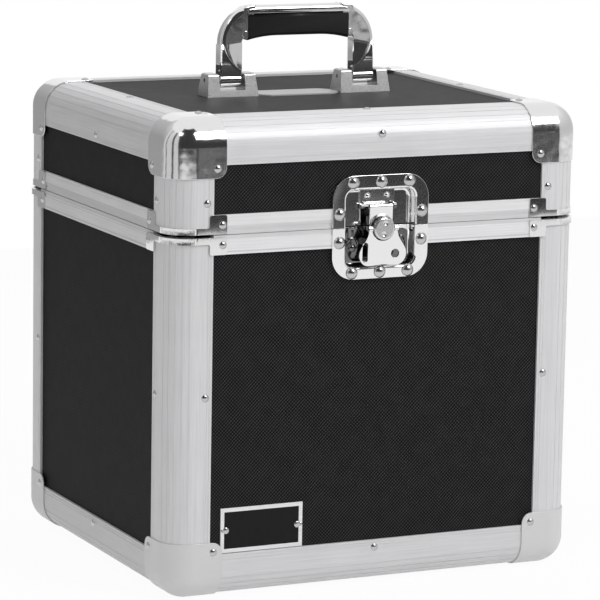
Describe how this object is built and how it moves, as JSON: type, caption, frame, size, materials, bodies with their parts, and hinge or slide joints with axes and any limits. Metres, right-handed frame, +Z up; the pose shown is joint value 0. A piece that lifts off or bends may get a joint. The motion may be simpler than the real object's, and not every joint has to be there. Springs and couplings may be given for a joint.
{
  "type": "record carrying case",
  "caption": "Upright carrying case with laminated panels in metal edge trim, steel corners, hinged lid, recessed twist latch and a swinging top handle.",
  "frame": {"origin": "middle of the footprint on the surface that the case stands on", "axes": "+Z up, the latch on the front towards -Y, +X to the right seen from the front"},
  "size_m": [0.3866, 0.3512, 0.4785],
  "materials": {
    "laminate": "matt black laminate with a fine pressed pattern on plywood",
    "edge_trim": "satin anodised with fine lengthwise grooves",
    "closing_rim": "satin anodised",
    "corner_steel": "bright plated pressed steel",
    "rivet_steel": "bright plated domed rivets",
    "latch_steel": "bright plated pressed steel",
    "handle_metal": "bright plated",
    "bracket_metal": "satin nickel plated casting",
    "inner_steel": "plain zinc plated",
    "grip_rubber": "smooth black moulded grip",
    "badge_metal": "black field in a bare metal border, blank",
    "foam": "dark grey closed-cell foam sheet"
  },
  "bodies": {
    "case": {"bottom_panel": "laminate", "front_panel": "laminate", "back_panel": "laminate", "left_panel": "laminate", "right_panel": "laminate", "front_left_post": "edge_trim", "front_right_post": "edge_trim", "back_left_post": "edge_trim", "back_right_post": "edge_trim", "bottom_front_rail": "edge_trim", "bottom_back_rail": "edge_trim", "bottom_left_rail": "edge_trim", "bottom_right_rail": "edge_trim", "body_front_rim": "closing_rim", "body_back_rim": "closing_rim", "body_left_rim": "closing_rim", "body_right_rim": "closing_rim", "bottom_corners": "corner_steel", "body_seam_clips": "corner_steel", "body_rivets": "rivet_steel", "body_lining": "foam", "badge_plate": "badge_metal", "latch_dish_lower": "latch_steel", "latch_base": "latch_steel", "hinge_body_leaves": "inner_steel", "hinge_pins": "inner_steel"},
    "lid": {"top_panel": "laminate", "lid_front_panel": "laminate", "lid_back_panel": "laminate", "lid_left_panel": "laminate", "lid_right_panel": "laminate", "lid_posts": "edge_trim", "top_front_rail": "edge_trim", "top_back_rail": "edge_trim", "top_left_rail": "edge_trim", "top_right_rail": "edge_trim", "lid_front_rim": "closing_rim", "lid_back_rim": "closing_rim", "lid_left_rim": "closing_rim", "lid_right_rim": "closing_rim", "top_corners": "corner_steel", "lid_seam_clips": "corner_steel", "lid_rivets": "rivet_steel", "lid_lining": "foam", "latch_dish_upper": "latch_steel", "latch_keeper": "latch_steel", "hinge_lid_leaves": "inner_steel", "handle_brackets": "bracket_metal", "handle_pins": "inner_steel", "handle_plate": "handle_metal", "handle_backing_plate": "inner_steel", "handle_screws": "inner_steel"},
    "handle": {"handle_bow": "handle_metal", "handle_grip": "grip_rubber"},
    "spindle": {"latch_spindle": "latch_steel", "latch_wing_pin": "inner_steel"},
    "hook": {"latch_hook": "latch_steel"},
    "wing": {"latch_wing": "latch_steel"}
  },
  "joints": [
    {"name": "lid_hinge", "type": "hinge", "parent": "case", "child": "lid", "pos_m": [0, 0.17135, 0.3077], "axis": [-1, 0, 0], "range_deg": [0, 100]},
    {"name": "handle_swing", "type": "hinge", "parent": "lid", "child": "handle", "pos_m": [-0.002, 0.004, 0.414], "axis": [1, 0, 0], "range_deg": [-88, 88]},
    {"name": "latch_twist", "type": "hinge", "parent": "case", "child": "spindle", "pos_m": [-0.001, -0.168, 0.3068], "axis": [0, -1, 0], "range_deg": [0, 180]},
    {"name": "hook_lift", "type": "slide", "parent": "case", "child": "hook", "axis": [0, 0, 1], "range_m": [0, 0.0071]},
    {"name": "wing_fold", "type": "hinge", "parent": "spindle", "child": "wing", "pos_m": [-0.001, -0.17235, 0.3068], "axis": [-1, 0, 0], "range_deg": [0, 90]}
  ],
  "couplings": [
    {"joint": "hook_lift", "follows": "latch_twist", "m_per_rad": 0.002228}
  ]
}
